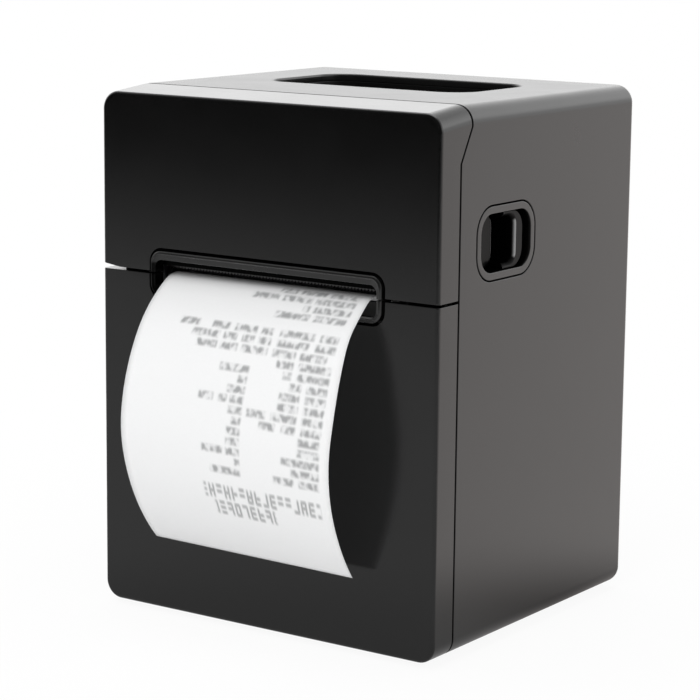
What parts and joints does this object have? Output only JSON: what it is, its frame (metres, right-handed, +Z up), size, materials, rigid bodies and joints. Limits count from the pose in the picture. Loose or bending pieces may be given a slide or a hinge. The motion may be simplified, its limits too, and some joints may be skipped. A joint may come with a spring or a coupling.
{
  "type": "receipt printer",
  "caption": "Cube-shaped black counter-top thermal receipt printer with a drop-down front door, a side release lever, a well in the lid and a printed strip hanging from its slot.",
  "frame": {"origin": "middle of the part's box, on the surface that the rubber feet stand on", "axes": "+Z up, front face towards -Y, release recess on +X"},
  "size_m": [0.132, 0.143, 0.1745],
  "materials": {
    "case_black": "semi-gloss moulded ABS",
    "front_black": "satin moulded ABS",
    "base_black": "fine-textured moulded ABS",
    "bezel_grey": "satin dark grey",
    "tray_black": "satin moulded ABS",
    "cup_black": "semi-gloss moulded ABS",
    "lever_grey": "satin moulded acetal",
    "blade_steel": "ground stainless edge",
    "bright_steel": "bright zinc or ground steel",
    "frame_steel": "zinc-plated sheet",
    "foot_rubber": "matt",
    "platen_rubber": "ground silicone",
    "head_ceramic": "glazed strip",
    "sink_aluminium": "mill finish",
    "gear_white": "moulded acetal",
    "motor_black": "black oxide",
    "bucket_grey": "moulded ABS",
    "thermal_paper": "smooth thermal paper",
    "core_card": "spiral card tube",
    "board_green": "solder-masked laminate",
    "socket_black": "moulded nylon",
    "socket_metal": "plated shell",
    "key_black": "moulded ABS"
  },
  "bodies": {
    "housing": {"rear_housing": "case_black", "base_plate": "base_black", "upper_front_cover": "front_black", "door_hinge_pins": "bright_steel", "exit_bezel_upper": "bezel_grey", "tear_bar": "blade_steel", "top_tray": "tray_black", "release_cup": "cup_black", "lever_spring": "bright_steel", "rubber_feet": "foot_rubber", "base_screws": "bright_steel", "mechanism_frame": "frame_steel", "frame_screws": "bright_steel", "head_pivot_shaft": "bright_steel", "head_springs": "bright_steel", "idler_stud": "bright_steel", "feed_motor": "motor_black", "paper_bucket": "bucket_grey", "paper_web": "thermal_paper", "main_board": "board_green", "power_socket": "socket_black", "usb_socket": "socket_metal", "network_socket": "socket_metal", "drawer_socket": "socket_black", "switch_frame": "socket_black", "feed_key": "socket_black"},
    "door": {"lower_front_door": "front_black", "exit_bezel_lower": "bezel_grey", "platen_bushes": "gear_white", "receipt": "thermal_paper"},
    "platen": {"platen_roller": "platen_rubber", "platen_shaft": "bright_steel", "platen_gear": "gear_white"},
    "idler": {"idler_gear": "gear_white"},
    "pinion": {"motor_pinion": "gear_white"},
    "roll": {"paper_roll": "thermal_paper", "roll_core": "core_card"},
    "head": {"print_head": "head_ceramic", "head_heatsink": "sink_aluminium"},
    "lever": {"release_lever": "lever_grey"},
    "latch": {"latch_shaft": "bright_steel", "latch_hooks": "frame_steel"},
    "rocker": {"power_rocker": "key_black"},
    "button": {"feed_button": "key_black"}
  },
  "joints": [
    {"name": "door_hinge", "type": "hinge", "parent": "housing", "child": "door", "pos_m": [0, -0.0443, 0.0062], "axis": [1, 0, 0], "range_deg": [0, 90], "deforming": ["receipt"]},
    {"name": "platen_spin", "type": "hinge", "parent": "door", "child": "platen", "pos_m": [0, -0.0345, 0.1045], "axis": [1, 0, 0], "continuous": true},
    {"name": "idler_spin", "type": "hinge", "parent": "housing", "child": "idler", "pos_m": [0, -0.01362, 0.1023], "axis": [1, 0, 0], "continuous": true},
    {"name": "pinion_spin", "type": "hinge", "parent": "housing", "child": "pinion", "pos_m": [0, -0.00025, 0.11567], "axis": [1, 0, 0], "continuous": true},
    {"name": "roll_spin", "type": "hinge", "parent": "housing", "child": "roll", "pos_m": [0, 0.0135, 0.049], "axis": [1, 0, 0], "continuous": true},
    {"name": "head_tilt", "type": "hinge", "parent": "housing", "child": "head", "pos_m": [0, -0.0155, 0.10724], "axis": [1, 0, 0], "range_deg": [-5, 0], "stiffness_Nm_per_rad": 1, "springref_deg": 5.73, "deforming": ["head_springs"]},
    {"name": "lever_slide", "type": "slide", "parent": "housing", "child": "lever", "axis": [0, 1, 0], "range_m": [0, 0.003], "stiffness_N_per_m": 500, "springref_m": -0.002, "deforming": ["lever_spring"]},
    {"name": "latch_turn", "type": "hinge", "parent": "housing", "child": "latch", "pos_m": [0, -0.0185, 0.128], "axis": [1, 0, 0], "range_deg": [-10, 0]},
    {"name": "rocker_tilt", "type": "hinge", "parent": "housing", "child": "rocker", "pos_m": [-0.038, 0.0616, 0.023], "axis": [0, 0, 1], "range_deg": [-16, 0]},
    {"name": "feed_press", "type": "slide", "parent": "housing", "child": "button", "axis": [0, -1, 0], "range_m": [0, 0.0012], "stiffness_N_per_m": 300}
  ],
  "couplings": [
    {"joint": "platen_spin", "follows": "roll_spin", "ratio": 5.5385},
    {"joint": "idler_spin", "follows": "roll_spin", "ratio": -2.7692},
    {"joint": "pinion_spin", "follows": "roll_spin", "ratio": 7.9121},
    {"joint": "latch_turn", "follows": "lever_slide", "rad_per_m": -55.556}
  ]
}
